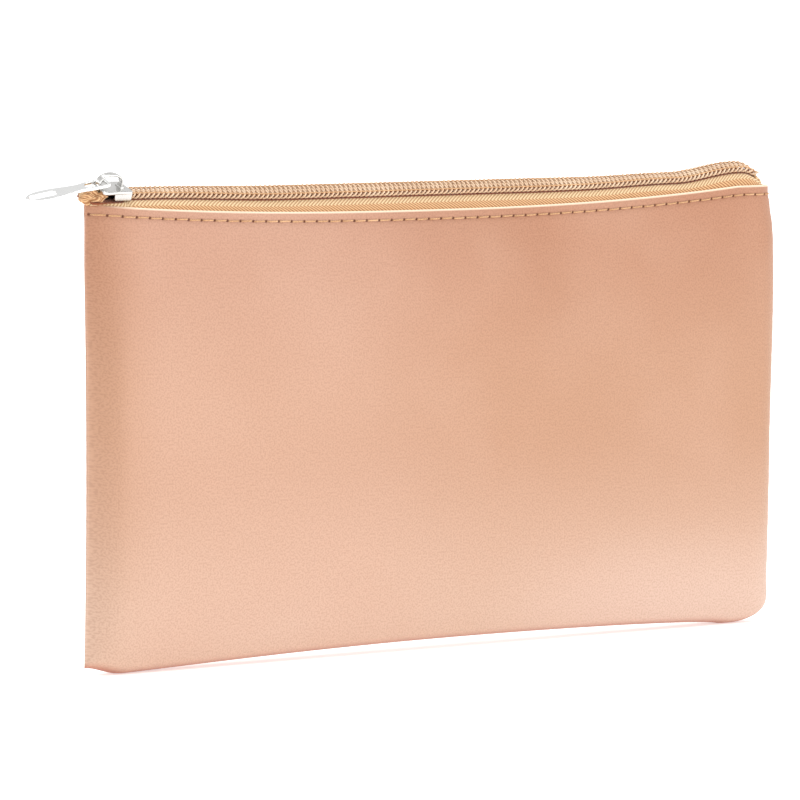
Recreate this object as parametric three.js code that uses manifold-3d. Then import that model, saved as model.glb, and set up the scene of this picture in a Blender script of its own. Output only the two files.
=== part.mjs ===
// Zipped flat pouch for cash deposits: two faux-leather walls with linings, sewn at the bottom and the sides,
// closed along the top by a coil zipper. Millimetres, +Z up, the front wall faces -Y.
// The origin is on the standing surface, in the middle of the bottom seam.
import * as THREE from "three";
import { mergeVertices } from "three/addons/utils/BufferGeometryUtils.js";
import Module from "manifold-3d";

const wasm = await Module();
wasm.setup();

// Driving dimensions of the pouch.
const HALF_WIDTH = 140;
const END_HEIGHT = 146; // the panels' top edge at the side seams
const FRONT_SAG = 4; // how far the front panel's top edge dips in the middle
const BACK_SAG = 0.5; // the chain leans forward, so the back panel stands higher
const CORNER_RADIUS = 9; // bottom corners, seen from the front
const EDGE_ROUND = 12; // how far in from a seam the wall reaches its full depth
const EDGE_DEPTH = 8; // half thickness of the pouch near the mouth and the foot
const BELLY = 3; // extra half thickness at mid height
const FOOT_CUT = 1; // how much of the round keel the flat foot takes off
const LEATHER = 1;
const GAP = 0.3; // clearance between pieces that touch
const LINING = 0.5;
const MARGIN_DEPTH = 7.5; // how far the seam margins reach in
const MARGIN_HALF = 1; // half thickness of the two turned plies
const SEAM_THREAD = 0.5;

// Driving dimensions of the zipper.
const CHAIN_HEIGHT = 148; // the zipper chain's centre line
const CHAIN_TILT = THREE.MathUtils.degToRad(22); // the chain leans towards the front
const TAPE = 0.5;
const TAPE_FLAT = 5.5; // the tape is flat this far out from the chain's middle
const TAPE_INSERT = 9; // how far the tape reaches down between panel and lining
const TAPE_END = 132;
const COIL_INNER = 0.15;
const COIL_OUTER = 3;
const COIL_BASE = 0.3; // the coil's underside, above the tape
const COIL_TOP = 2.2;
const COIL_STEP = 1.5; // height of the coil's outer shoulder, where the stitch row lies
const SLIDER_X = -128.95;
const SLIDER_LENGTH = 13.1;
const NOSE_HALF = 4.6;
const TAIL_HALF = 4.1;
const PLATE = 1;
const PLATE_TOP_BASE = 2.5; // underside of the upper slider plate
const PLATE_LOW_TOP = -0.8; // top of the lower slider plate
const BAIL_X = -130.9; // the bail stands towards the slider's nose
const BAIL_HALF = 4.2; // half the bail's span, to the middle of its strap
const BAIL_RISE = 2.45; // from the pull's axis up to the middle of the strap
const BAIL_STRAP = 0.9;
const BAIL_WIDTH = 2.4;
const BAIL_CENTRE = 5.2; // height of the pull's axis above the tape
const PULL_LENGTH = 30.5; // from its axis to the tip
const PULL_THICK = 0.95;
const PULL_DROOP = THREE.MathUtils.degToRad(10.5); // its edge still clears the leather as the slider moves in

// A closed solid from a grid of points (rows of equal length) on the outside and a second grid behind it.
function shell(outer, inner) {
  const rows = outer.length;
  const columns = outer[0].length;
  const points = [];
  for (const grid of [outer, inner]) {
    for (const row of grid) {
      for (const p of row) points.push(p[0], p[1], p[2]);
    }
  }
  const at = (side, r, c) => side * rows * columns + r * columns + c;
  const faces = [];
  const quad = (a, b, c, d) => faces.push(a, b, c, a, c, d);
  for (let r = 0; r < rows - 1; r++) {
    for (let c = 0; c < columns - 1; c++) {
      quad(at(0, r, c), at(0, r, c + 1), at(0, r + 1, c + 1), at(0, r + 1, c));
      quad(at(1, r, c), at(1, r + 1, c), at(1, r + 1, c + 1), at(1, r, c + 1));
    }
    quad(at(0, r, 0), at(0, r + 1, 0), at(1, r + 1, 0), at(1, r, 0));
    const last = columns - 1;
    quad(at(0, r, last), at(1, r, last), at(1, r + 1, last), at(0, r + 1, last));
  }
  for (let c = 0; c < columns - 1; c++) {
    const last = rows - 1;
    quad(at(0, 0, c), at(1, 0, c), at(1, 0, c + 1), at(0, 0, c + 1));
    quad(at(0, last, c), at(0, last, c + 1), at(1, last, c + 1), at(1, last, c));
  }
  return solidFrom(points, faces);
}

// Geometry from raw points and faces, without the faces that close up to a line, turned to face outwards.
function solidFrom(points, faces) {
  const raw = new THREE.BufferGeometry();
  raw.setAttribute("position", new THREE.Float32BufferAttribute(points, 3));
  raw.setIndex(faces);
  const geometry = mergeVertices(raw, 1e-3);
  const index = Array.from(geometry.index.array);
  const kept = [];
  for (let i = 0; i < index.length; i += 3) {
    const [a, b, c] = index.slice(i, i + 3);
    if (a !== b && b !== c && c !== a) kept.push(a, b, c);
  }
  geometry.setIndex(kept);
  if (signedVolume(geometry) < 0) reverse(geometry);
  return geometry;
}

function signedVolume(geometry) {
  const p = geometry.getAttribute("position");
  const index = geometry.index.array;
  const [a, b, c] = [new THREE.Vector3(), new THREE.Vector3(), new THREE.Vector3()];
  let volume = 0;
  for (let i = 0; i < index.length; i += 3) {
    a.fromBufferAttribute(p, index[i]);
    b.fromBufferAttribute(p, index[i + 1]);
    c.fromBufferAttribute(p, index[i + 2]);
    volume += a.dot(b.cross(c)) / 6;
  }
  return volume;
}

function reverse(geometry) {
  const index = geometry.index.array;
  for (let i = 0; i < index.length; i += 3) {
    const kept = index[i];
    index[i] = index[i + 1];
    index[i + 1] = kept;
  }
}

function toManifold(geometry) {
  const bare = geometry.clone();
  bare.deleteAttribute("normal");
  bare.deleteAttribute("uv");
  const merged = mergeVertices(bare, 1e-4);
  const mesh = new wasm.Mesh({
    numProp: 3,
    vertProperties: merged.getAttribute("position").array,
    triVerts: new Uint32Array(merged.index.array),
  });
  return new wasm.Manifold(mesh);
}

function fromManifold(solid) {
  const mesh = solid.getMesh();
  const geometry = new THREE.BufferGeometry();
  geometry.setAttribute("position", new THREE.Float32BufferAttribute(mesh.vertProperties, 3));
  geometry.setIndex(Array.from(mesh.triVerts));
  return geometry;
}

const join = (first, ...others) => {
  let made = toManifold(first);
  for (const other of others) made = made.add(toManifold(other));
  return fromManifold(made);
};

// An outline in the XY plane, extruded from one height to another.
function slab(outline, low, high, holes = []) {
  const shape = new THREE.Shape(outline.map(([x, y]) => new THREE.Vector2(x, y)));
  for (const hole of holes) {
    shape.holes.push(new THREE.Path(hole.map(([x, y]) => new THREE.Vector2(x, y))));
  }
  const geometry = new THREE.ExtrudeGeometry(shape, { depth: high - low, bevelEnabled: false });
  return geometry.translate(0, 0, low);
}

// A block between two opposite corners, the lower one first.
function block(low, high) {
  const size = high.map((value, i) => value - low[i]);
  const middle = high.map((value, i) => (value + low[i]) / 2);
  return new THREE.BoxGeometry(...size).translate(...middle);
}

// Evenly spaced values from first to last.
const steps = (first, last, count) =>
  Array.from({ length: count + 1 }, (_, i) => first + ((last - first) * i) / count);

// Quarter-round growth from 0 at a seam to 1 at the given distance in from it.
function roundIn(distance, radius) {
  const left = 1 - Math.min(Math.max(distance / radius, 0), 1);
  return Math.sqrt(1 - left * left);
}

// How far the bottom corners lift the outline, at a distance in from the side seam.
function cornerLift(fromSide) {
  const inside = Math.max(CORNER_RADIUS - fromSide, 0);
  return CORNER_RADIUS - Math.sqrt(CORNER_RADIUS ** 2 - inside ** 2);
}

// The two walls: which way each faces along Y, and how its top edge sags.
const walls = [
  { name: "front", facing: -1, sag: FRONT_SAG },
  { name: "back", facing: 1, sag: BACK_SAG },
];
const topEdge = (wall, x) => END_HEIGHT - wall.sag * (1 - (x / HALF_WIDTH) ** 2);
const fullDepth = (z) => EDGE_DEPTH + BELLY * Math.sin((Math.PI * z) / END_HEIGHT);

// Half thickness of the pouch at a point of the wall, to a surface that lies inset inside the outer one.
function depth(x, z, inset) {
  const round = EDGE_ROUND - inset;
  const fromSide = HALF_WIDTH - inset - Math.abs(x);
  const fromKeel = z - inset + FOOT_CUT - cornerLift(HALF_WIDTH - Math.abs(x));
  return roundIn(fromSide, round) * roundIn(fromKeel, round) * (fullDepth(z) - inset);
}

// Columns close together at the side seams and wide apart in the middle.
function columnsAcross(half, count) {
  return steps(-1, 1, count).map((t) => half * Math.sin((Math.PI / 2) * t));
}

// Rows close together at the foot and even above it.
const rowShares = [0, 0, 0.004, 0.012, 0.026, 0.048, 0.08, 0.2, 0.35, 0.5, 0.65, 0.8, 0.92, 1];

// One surface of a panel: the first row lies at the centre plane, the second where the flat foot ends.
function panelGrid(wall, inset, half, columns) {
  return rowShares.map((share, row) =>
    columns.map((part) => {
      const x = part * half;
      const low = inset + cornerLift(HALF_WIDTH - Math.min(Math.abs(x), HALF_WIDTH - inset));
      const z = low + share * (topEdge(wall, x) - low);
      const out = row === 0 ? 0 : depth(x, z, inset);
      return [x, wall.facing * (GAP / 2 + out), z];
    }),
  );
}

const PANEL_COLUMNS = 36;
function panel(wall) {
  const columns = columnsAcross(1, PANEL_COLUMNS);
  const outside = panelGrid(wall, 0, HALF_WIDTH, columns);
  const inside = panelGrid(wall, LEATHER, HALF_WIDTH - LEATHER, columns);
  return shell(outside, inside);
}

// The lining bag is smaller: it closes inside the seam margins.
const LINING_INSET = LEATHER + TAPE + 2 * GAP;
const LINING_HALF = HALF_WIDTH - 11;
const LINING_LOW = MARGIN_DEPTH + 3;
const LINING_ROUND = 10;
const LINING_DROP = 1.5; // its top edge stays this far below the panel's

function liningGrid(wall, inset) {
  const half = LINING_HALF - (inset - LINING_INSET);
  const low = LINING_LOW + (inset - LINING_INSET);
  return [0, 0.01, 0.03, 0.07, 0.2, 0.4, 0.6, 0.8, 1].map((share) =>
    columnsAcross(half, 20).map((x) => {
      const z = low + share * (topEdge(wall, x) - LINING_DROP - low);
      const round = roundIn(half - Math.abs(x), LINING_ROUND) * roundIn(z - low, LINING_ROUND);
      return [x, wall.facing * (GAP / 2 + round * (fullDepth(z) - inset)), z];
    }),
  );
}

const lining = (wall) => shell(liningGrid(wall, LINING_INSET), liningGrid(wall, LINING_INSET + LINING));

// A point of the chain's own frame: across the chain towards the front, and up from the tape.
function chainPoint(x, across, up) {
  const y = -across * Math.cos(CHAIN_TILT) - up * Math.sin(CHAIN_TILT);
  const z = CHAIN_HEIGHT - across * Math.sin(CHAIN_TILT) + up * Math.cos(CHAIN_TILT);
  return [x, y, z];
}

// The tape's centre line at one place along the chain: flat under the coil, then down behind the panel.
function tapeLine(wall, x) {
  const besidePost = x < SLIDER_X + 1.5 ? 1.7 : COIL_INNER; // the slider's post stands between the tapes
  const under = -TAPE / 2;
  const flat = [besidePost, TAPE_FLAT / 2, TAPE_FLAT].map((across) => {
    const [, y, z] = chainPoint(x, -wall.facing * across, under);
    return [y, z];
  });
  const tucked = [0.2, TAPE_INSERT / 2, TAPE_INSERT].map((down) => {
    const z = topEdge(wall, x) - down;
    const behind = LEATHER + GAP + TAPE / 2;
    return [wall.facing * (GAP / 2 + depth(x, z, 0) - behind), z];
  });
  return [...flat, ...tucked];
}

function tape(wall) {
  const stations = [-TAPE_END, SLIDER_X + 1, SLIDER_X + 2, ...steps(-112, 112, 14), TAPE_END];
  const upper = [];
  const lower = [];
  for (const x of stations) {
    const line = tapeLine(wall, x);
    const normals = line.map((_, i) => {
      const [y0, z0] = line[Math.max(i - 1, 0)];
      const [y1, z1] = line[Math.min(i + 1, line.length - 1)];
      const length = Math.hypot(y1 - y0, z1 - z0);
      return [(z1 - z0) / length, -(y1 - y0) / length];
    });
    const offset = (by) => line.map(([y, z], i) => [x, y + by * normals[i][0], z + by * normals[i][1]]);
    upper.push(offset(TAPE / 2));
    lower.push(offset(-TAPE / 2));
  }
  return shell(upper, lower);
}

// A bar of constant section along the chain, its corners given across and up.
function chainBar(wall, from, to, section) {
  const faces = [];
  const points = [];
  const count = section.length;
  for (const x of [from, to]) {
    for (const [across, up] of section) points.push(...chainPoint(x, -wall.facing * across, up));
  }
  const cap = THREE.ShapeUtils.triangulateShape(section.map(([a, b]) => new THREE.Vector2(a, b)), []);
  for (const [a, b, c] of cap) faces.push(a, b, c, a + count, c + count, b + count);
  const turn = THREE.ShapeUtils.area(section.map(([a, b]) => new THREE.Vector2(a, b))) > 0;
  for (let i = 0; i < count; i++) {
    const next = (i + 1) % count;
    const [low, high] = turn ? [next, i] : [i, next];
    faces.push(low, high, high + count, low, high + count, low + count);
  }
  return solidFrom(points, faces);
}

const COIL_START = SLIDER_X + 2.2;
const COIL_FINISH = 131;
const GROOVE = [0.7, 1.9, 1.3]; // inner side, outer side and top of the groove that holds the filler cord

function coil(wall) {
  const [inside, outside, top] = GROOVE;
  return chainBar(wall, COIL_START, COIL_FINISH, [
    [COIL_INNER, COIL_BASE],
    [inside, COIL_BASE],
    [inside, top],
    [outside, top],
    [outside, COIL_BASE],
    [COIL_OUTER, COIL_BASE],
    [COIL_OUTER, COIL_STEP],
    [2.1, COIL_STEP],
    [2, COIL_TOP],
    [0.5, COIL_TOP],
    [COIL_INNER, 1.6],
  ]);
}

function roundSection(across, up, radius, sides) {
  return steps(0, 2 * Math.PI, sides)
    .slice(0, sides)
    .map((angle) => [across + radius * Math.cos(angle), up + radius * Math.sin(angle)]);
}

const coilCord = (wall) => chainBar(wall, COIL_START, COIL_FINISH, roundSection(1.3, 0.65, 0.3, 8));
const coilThread = (wall) => chainBar(wall, COIL_START, COIL_FINISH, roundSection(2.6, 2.05, 0.2, 6));

// The slider's outline, seen along the chain's normal: a broad round nose and a narrower tail.
function sliderOutline() {
  const nose = SLIDER_X - SLIDER_LENGTH / 2;
  const tail = SLIDER_X + SLIDER_LENGTH / 2;
  return [
    [nose + 0.6, -1.2],
    [nose, -2.4],
    [nose + 0.4, -NOSE_HALF + 0.6],
    [nose + 1.6, -NOSE_HALF],
    [nose + 5, -TAIL_HALF - 0.2],
    [tail - 0.8, -TAIL_HALF],
    [tail, -TAIL_HALF + 0.8],
    [tail, TAIL_HALF - 0.8],
    [tail - 0.8, TAIL_HALF],
    [nose + 5, TAIL_HALF + 0.2],
    [nose + 1.6, NOSE_HALF],
    [nose + 0.4, NOSE_HALF - 0.6],
    [nose, 2.4],
    [nose + 0.6, 1.2],
  ];
}

const FLANGE_INNER = COIL_OUTER + GAP;
const FLANGE_OUTER = 4.1;
const FLANGE_LOW = 0.35; // the side flange ends above the tape

function sliderBody() {
  const outline = sliderOutline();
  const tail = SLIDER_X + SLIDER_LENGTH / 2;
  const nose = SLIDER_X - SLIDER_LENGTH / 2;
  const upper = slab(outline, PLATE_TOP_BASE, PLATE_TOP_BASE + PLATE);
  const lower = slab(outline, PLATE_LOW_TOP - PLATE, PLATE_LOW_TOP);
  const post = slab(
    [
      [nose + 1, 0],
      [nose + 2.2, -1.1],
      [nose + 5, -0.9],
      [nose + 6.6, 0],
      [nose + 5, 0.9],
      [nose + 2.2, 1.1],
    ],
    PLATE_LOW_TOP - PLATE / 2,
    PLATE_TOP_BASE + PLATE / 2,
  );
  const flanges = [-1, 1].map((side) => {
    const inner = side * FLANGE_INNER;
    const outer = side * FLANGE_OUTER;
    const low = [nose + 6.2, Math.min(inner, outer), FLANGE_LOW];
    return block(low, [tail - 0.6, Math.max(inner, outer), PLATE_TOP_BASE + PLATE / 2]);
  });
  return join(upper, lower, post, ...flanges);
}

// The bail is a strap bent into a low arch over the axis that the pull turns about.
function bail() {
  const foot = PLATE_TOP_BASE + PLATE + GAP - BAIL_CENTRE;
  const arch = (out) =>
    steps(Math.PI, 0, 16).map((angle) => [
      (BAIL_HALF + out) * Math.cos(angle),
      (BAIL_RISE + out) * Math.sin(angle),
    ]);
  const half = BAIL_STRAP / 2;
  const outside = [[-BAIL_HALF - half, foot], ...arch(half), [BAIL_HALF + half, foot]];
  const inside = [[BAIL_HALF - half, foot], ...arch(-half).reverse(), [-BAIL_HALF + half, foot]];
  return slab([...outside, ...inside], -BAIL_WIDTH / 2, BAIL_WIDTH / 2);
}

// The pull: a long eye round the bail's strap, a neck, and a paddle with a slot, along +X from its axis.
const PULL_EYE = [1.7, 9.3, BAIL_WIDTH / 2 + GAP]; // start, end and half width of the eye's hole
const EYE_POINT = 0.8; // the hole's far end comes to a shallow point this long
const PULL_SLOT = [21, 28, 1.2]; // the same for the slot in the paddle

function pullTab() {
  const upperEdge = [
    [0.6, 1.9],
    [1.2, 2.6],
    [8, 2.6],
    [10.8, 1.9],
    [14, 2.2],
    [18.5, 3],
    [22.5, 3.3],
    [26, 3.1],
    [28.6, 2.4],
    [29.9, 1.3],
    [PULL_LENGTH, 0],
  ];
  const lowerEdge = upperEdge.slice(0, -1).map(([x, y]) => [x, -y]);
  const [eyeStart, eyeEnd, eyeHalf] = PULL_EYE;
  const shoulder = eyeEnd - EYE_POINT;
  const eye = [
    [eyeStart, -eyeHalf],
    [shoulder, -eyeHalf],
    [eyeEnd, 0],
    [shoulder, eyeHalf],
    [eyeStart, eyeHalf],
  ];
  const [slotStart, slotEnd, slotHalf] = PULL_SLOT;
  const slotRound = (x, turn) =>
    steps(-Math.PI / 2, Math.PI / 2, 4).map((angle) => [
      x + turn * slotHalf * Math.cos(angle),
      turn * slotHalf * Math.sin(angle),
    ]);
  const slot = [...slotRound(slotEnd, 1), ...slotRound(slotStart, -1)];
  return slab([...lowerEdge, ...upperEdge.reverse()], -PULL_THICK / 2, PULL_THICK / 2, [eye, slot]);
}

// Seam margins: the turned plies along the bottom and up both sides, with the thread line beside them.
const FOOT_MARGIN_HALF = HALF_WIDTH - 12; // the bottom margin stops short of the corners
const FOOT_MARGIN_LOW = LEATHER + GAP;
const SIDE_MARGIN_OUT = HALF_WIDTH - LEATHER - 0.7; // clear of the rounded side edge
const SIDE_MARGIN_LOW = 11; // above the bottom corners
const SIDE_MARGIN_HIGH = END_HEIGHT - 10; // below the tape ends
const THREAD_IN = [0.9, 1.6]; // from the outer edge of the bottom and side margins to their stitch lines
const THREAD_SHORT = 1; // a stitch line ends this far inside its margin
const THREAD_NEAR = MARGIN_HALF + GAP;
const THREAD_FAR = THREAD_NEAR + SEAM_THREAD;

function bottomMargin() {
  const low = [-FOOT_MARGIN_HALF, -MARGIN_HALF, FOOT_MARGIN_LOW];
  return block(low, [FOOT_MARGIN_HALF, MARGIN_HALF, FOOT_MARGIN_LOW + MARGIN_DEPTH]);
}

function bottomThread() {
  const half = FOOT_MARGIN_HALF - THREAD_SHORT;
  const low = FOOT_MARGIN_LOW + THREAD_IN[0];
  return block([-half, THREAD_NEAR, low], [half, THREAD_FAR, low + SEAM_THREAD]);
}

// A block beside a side seam, given by its outer and inner distances from the middle.
function sideBlock(side, [outer, inner], [near, far], [low, high]) {
  const edges = [side * outer, side * inner].sort((a, b) => a - b);
  return block([edges[0], near, low], [edges[1], far, high]);
}

function sideMargin(side) {
  const across = [SIDE_MARGIN_OUT, SIDE_MARGIN_OUT - MARGIN_DEPTH];
  return sideBlock(side, across, [-MARGIN_HALF, MARGIN_HALF], [SIDE_MARGIN_LOW, SIDE_MARGIN_HIGH]);
}

function sideThread(side) {
  const outer = SIDE_MARGIN_OUT - THREAD_IN[1];
  const heights = [SIDE_MARGIN_LOW + THREAD_SHORT, SIDE_MARGIN_HIGH - THREAD_SHORT];
  return sideBlock(side, [outer, outer - SEAM_THREAD], [THREAD_NEAR, THREAD_FAR], heights);
}

// The topstitch line, just proud of the panel and a few millimetres below its folded edge.
const STITCH_DROP = 3;
const STITCH_THREAD = 0.4;
function topstitch(wall) {
  const upper = [];
  const lower = [];
  for (const x of columnsAcross(HALF_WIDTH, PANEL_COLUMNS).slice(3, -3)) {
    const z = topEdge(wall, x) - STITCH_DROP;
    const near = wall.facing * (GAP / 2 + depth(x, z, 0) + GAP);
    const far = near + wall.facing * STITCH_THREAD;
    const heights = [z - STITCH_THREAD / 2, z + STITCH_THREAD / 2];
    upper.push(heights.map((height) => [x, far, height]));
    lower.push(heights.map((height) => [x, near, height]));
  }
  return shell(upper, lower);
}

// The tape ends: a crumpled tuft beside the slider, and a flat end sewn into the right-hand seam.
const TUFT_OVERHANG = 2.5; // how far the tuft sticks out past the side seam
const TUFT_TOP = END_HEIGHT + 2;
const SEWN_END_TOP = END_HEIGHT + 3;
const TAPE_ENDS_LOW = END_HEIGHT + 2 * GAP;

function leftTapeEnd() {
  const near = SLIDER_X - SLIDER_LENGTH / 2 - GAP;
  const tip = -HALF_WIDTH - TUFT_OVERHANG;
  const wide = 1 - HALF_WIDTH;
  const outline = [[tip, -1.2], [wide, -2.4], [near, -2], [near, 1.6], [wide, 1.4], [tip + 0.5, 0.4]];
  return slab(outline, TAPE_ENDS_LOW, TUFT_TOP);
}

function rightTapeEnd() {
  const start = TAPE_END + 0.4;
  const turn = HALF_WIDTH - 3;
  const end = HALF_WIDTH - 0.4;
  const outline = [[start, -2.6], [turn, -2], [end, -0.6], [end, 0.6], [turn, 2], [start, 2.6]];
  return slab(outline, TAPE_ENDS_LOW, SEWN_END_TOP);
}

// Materials.
const leather = (color) => new THREE.MeshStandardMaterial({ color, roughness: 0.42, metalness: 0.12 });
const woven = (color) => new THREE.MeshStandardMaterial({ color, roughness: 0.85, metalness: 0 });
const nylon = (color) => new THREE.MeshStandardMaterial({ color, roughness: 0.4, metalness: 0 });
const metal = (color) => new THREE.MeshStandardMaterial({ color, roughness: 0.2, metalness: 1 });

const ROSE_GOLD = 0xe2ad90;
const LINING_CLOTH = 0xd9bfa4;
const TAPE_CLOTH = 0xe2b487;
const COIL_NYLON = 0xe8c39a;
const THREAD = 0xd6a572;
const NICKEL = 0xd8d8da;

const pouch = new THREE.Group();

function add(parent, name, geometry, material) {
  const mesh = new THREE.Mesh(geometry, material);
  mesh.name = name;
  parent.add(mesh);
  return mesh;
}

for (const wall of walls) {
  add(pouch, `${wall.name}_panel`, panel(wall), leather(ROSE_GOLD));
  add(pouch, `${wall.name}_lining`, lining(wall), woven(LINING_CLOTH));
  add(pouch, `${wall.name}_tape`, tape(wall), woven(TAPE_CLOTH));
  add(pouch, `${wall.name}_coil`, coil(wall), nylon(COIL_NYLON));
  add(pouch, `${wall.name}_coil_cord`, coilCord(wall), woven(THREAD));
  add(pouch, `${wall.name}_coil_thread`, coilThread(wall), nylon(THREAD));
  add(pouch, `${wall.name}_topstitch`, topstitch(wall), nylon(THREAD));
}
add(pouch, "bottom_seam_margin", bottomMargin(), leather(ROSE_GOLD));
add(pouch, "left_seam_margin", sideMargin(-1), leather(ROSE_GOLD));
add(pouch, "right_seam_margin", sideMargin(1), leather(ROSE_GOLD));
add(pouch, "bottom_seam_thread", bottomThread(), nylon(THREAD));
add(pouch, "left_seam_thread", sideThread(-1), nylon(THREAD));
add(pouch, "right_seam_thread", sideThread(1), nylon(THREAD));
add(pouch, "left_tape_end", leftTapeEnd(), woven(TAPE_CLOTH));
add(pouch, "right_tape_end", rightTapeEnd(), woven(TAPE_CLOTH));

// The slider's frame: X along the chain, Z along the chain's normal, which leans towards the front.
const sliderFrame = new THREE.Group();
sliderFrame.position.z = CHAIN_HEIGHT;
sliderFrame.rotation.x = CHAIN_TILT;
pouch.add(sliderFrame);
add(sliderFrame, "slider_body", sliderBody(), metal(NICKEL));

const bailFrame = new THREE.Group();
bailFrame.position.set(BAIL_X, 0, BAIL_CENTRE);
sliderFrame.add(bailFrame);
const arch = add(bailFrame, "slider_bail", bail(), metal(NICKEL));
arch.rotation.x = Math.PI / 2;
const pull = add(bailFrame, "pull_tab", pullTab(), metal(NICKEL));
pull.rotation.y = Math.PI - PULL_DROOP;

export default pouch;
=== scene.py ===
# The looks of a zipped cash deposit pouch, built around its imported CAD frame.
# Shapes are worked out in millimetres and written to the meshes in metres. The front wall faces -Y, and the
# origin is on the standing surface, under the middle of the bottom seam.
import math

import bmesh
import bpy
import numpy as np
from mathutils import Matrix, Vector


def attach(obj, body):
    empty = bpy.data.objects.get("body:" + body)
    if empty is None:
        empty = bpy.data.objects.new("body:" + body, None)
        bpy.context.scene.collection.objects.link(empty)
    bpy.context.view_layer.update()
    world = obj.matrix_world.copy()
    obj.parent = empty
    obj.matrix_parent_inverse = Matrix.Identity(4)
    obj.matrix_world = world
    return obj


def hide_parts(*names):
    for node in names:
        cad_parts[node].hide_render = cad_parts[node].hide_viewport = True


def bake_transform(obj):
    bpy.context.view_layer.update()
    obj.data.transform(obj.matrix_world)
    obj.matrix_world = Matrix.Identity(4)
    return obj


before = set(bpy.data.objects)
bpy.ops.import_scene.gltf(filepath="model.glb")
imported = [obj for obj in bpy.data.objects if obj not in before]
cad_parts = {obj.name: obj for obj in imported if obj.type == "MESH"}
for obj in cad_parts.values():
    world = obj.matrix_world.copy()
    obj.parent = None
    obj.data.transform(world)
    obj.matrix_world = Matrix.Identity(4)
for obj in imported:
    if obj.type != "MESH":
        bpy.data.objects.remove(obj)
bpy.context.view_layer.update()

MM = 0.001

# Driving dimensions of the pouch, as in the CAD.
HALF_WIDTH = 140.0
END_HEIGHT = 146.0
HALF_GAP = 0.15  # half the gap between the two walls at their seams
EDGE_DEPTH = 8.0
BELLY = 3.0
FOOT_CUT = 1.0

# What the visual pouch refines.
TOP_SAG = {"front": 4.6, "back": 0.6}
SAG_END = (140.0, 122.0)  # the sag ends this far to the left and to the right
SAG_POWER = (2.6, 2.2)
LEFT_CORNER = (13.0, 2.4)  # width and height of the bottom corner's rise
RIGHT_CORNER = (18.0, 11.0)
FOOT_ROUND = 9.0
FOOT_BOW = 2.8  # the bottom seam lifts off the surface in its middle
BOW_X = 8.0
LEATHER = 0.62
FOLD = 1.4  # two plies of leather, folded over at the top edge
FOLD_DEPTH = 8.5
TAPE = 0.42
LINING = 0.35

# The zipper.
CHAIN_HEIGHT = 148.0
END_TILT = math.radians(22)
MIDDLE_TILT = math.radians(34)
MIDDLE_DROP = 0.9
HUMP = 3.0
END_FALL = 7.0  # from the hump down to the tape ends at the right-hand seam
COIL_PITCH = 1.84
SLIDER_X = -128.95
SLIDER_LENGTH = 13.1
STITCH_PITCH = 4.98
STITCH_DROP = 3.0
STITCH_START = -139.5
STITCH_COUNT = 56  # stitches between the first hole and the last
HOLE_DEPTH = 0.45
DRAWN_DEPTH = 0.12  # the stitches draw the leather in along their line

WALLS = {"front": -1, "back": 1}
ALONG = (1.0, 0, 0)
UP = (0, 0, 1.0)


def smoothstep(t):
    t = np.clip(t, 0, 1)
    return t * t * (3 - 2 * t)


def linear(red, green, blue):
    """An sRGB colour of 0 to 255 as the linear one that shaders take."""
    channels = [c / 255 for c in (red, green, blue)]
    return tuple(c / 12.92 if c <= 0.04045 else ((c + 0.055) / 1.055) ** 2.4 for c in channels) + (1.0,)


# ---- meshes ----


def placed(name, data):
    """A new object in the scene."""
    made = bpy.data.objects.new(name, data)
    bpy.context.scene.collection.objects.link(made)
    return made


def mesh_object(name, points, faces, material, uv=None, hard_angle=None):
    """A new object, its faces turned outwards. uv gives each point's place in the cloth, in millimetres."""
    work = bmesh.new()
    layer = work.loops.layers.uv.new("cloth") if uv is not None else None
    made = [work.verts.new(point) for point in (np.asarray(points) * MM).tolist()]
    for face in faces:
        work.faces.new([made[i] for i in face])
    if layer is not None:
        places = (np.asarray(uv) * MM).tolist()
        work.verts.index_update()
        for face in work.faces:
            for loop in face.loops:
                loop[layer].uv = places[loop.vert.index]
    bmesh.ops.recalc_face_normals(work, faces=work.faces)
    mesh = bpy.data.meshes.new(name)
    work.to_mesh(mesh)
    work.free()
    mesh.shade_smooth()
    if hard_angle is not None:
        mesh.set_sharp_from_angle(angle=hard_angle)
    mesh.materials.append(material)
    return placed(name, mesh)


def grid_quads(rows, columns, start=0, wrap=False, flip=False):
    """Quads of a grid of points numbered row by row. wrap joins the last column to the first."""
    r = np.arange(rows - 1)[:, None]
    c = np.arange(columns if wrap else columns - 1)[None, :]
    near, far = c, (c + 1) % columns
    quads = np.stack(
        [r * columns + near, r * columns + far, (r + 1) * columns + far, (r + 1) * columns + near], axis=-1
    ).reshape(-1, 4)
    if flip:
        quads = quads[:, ::-1]
    return (quads + start).tolist()


def closed_sheet(name, outside, inside, uv, material):
    """A closed shell between two grids of the same size, rows by columns by xyz."""
    rows, columns = outside.shape[:2]
    count = rows * columns
    points = np.concatenate([outside.reshape(-1, 3), inside.reshape(-1, 3)])
    faces = grid_quads(rows, columns) + grid_quads(rows, columns, start=count, flip=True)
    rim = [r * columns for r in range(rows)]
    rim += [(rows - 1) * columns + c for c in range(1, columns)]
    rim += [r * columns + columns - 1 for r in range(rows - 2, -1, -1)]
    rim += list(range(columns - 2, 0, -1))
    for here, after in zip(rim, rim[1:] + rim[:1]):
        faces.append([here, after, after + count, here + count])
    flat = np.concatenate([uv.reshape(-1, 2), uv.reshape(-1, 2)])
    return mesh_object(name, points, faces, material, uv=flat)


def lengths(vectors):
    return np.linalg.norm(vectors, axis=-1, keepdims=True)


def unit(vectors):
    return vectors / lengths(vectors)


def pairs(first, second):
    return np.stack(np.broadcast_arrays(first, second), axis=-1)


def side_and_up(path, reference):
    """Two directions square to a path at each of its points. Up leans towards reference."""
    tangent = unit(np.gradient(path, axis=0))
    up = np.broadcast_to(np.asarray(reference, float), path.shape)
    up = unit(up - (up * tangent).sum(1)[:, None] * tangent)
    return np.cross(tangent, up), up


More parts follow.
